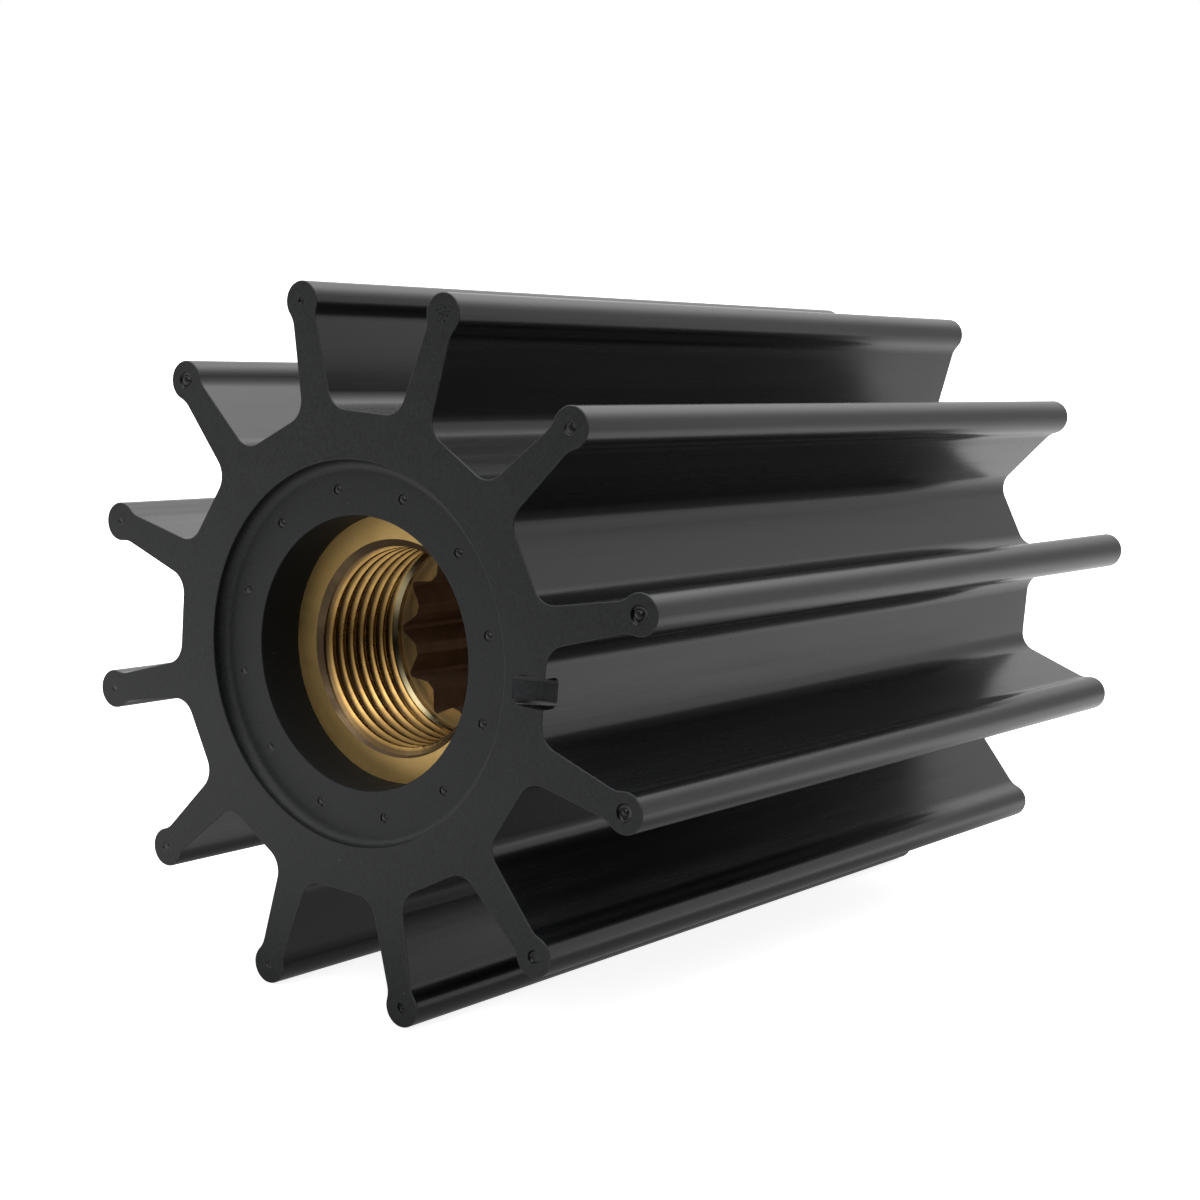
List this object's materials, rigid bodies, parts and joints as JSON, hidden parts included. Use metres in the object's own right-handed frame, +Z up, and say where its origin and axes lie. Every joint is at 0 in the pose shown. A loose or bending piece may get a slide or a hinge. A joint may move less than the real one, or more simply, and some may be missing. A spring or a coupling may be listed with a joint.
{
  "type": "rubber pump impeller",
  "caption": "Rubber pump impeller with straight flexible vanes and beaded tips, moulded round a splined brass bush with a puller thread.",
  "frame": {"origin": "middle of the impeller on its rotation axis", "axes": "+Y along the rotation axis from the threaded front end to the rear end, +Z up with the part lying on two vanes, +X to the right as the front end is seen"},
  "size_m": [0.092, 0.13, 0.092],
  "materials": {
    "black_rubber": "matte moulded rubber on the ends, satin on vanes and beads",
    "turned_brass": "turned and broached brass, bright on the thread"
  },
  "bodies": {
    "root": {"rubber_body": "black_rubber", "brass_bush": "turned_brass"}
  },
  "joints": []
}
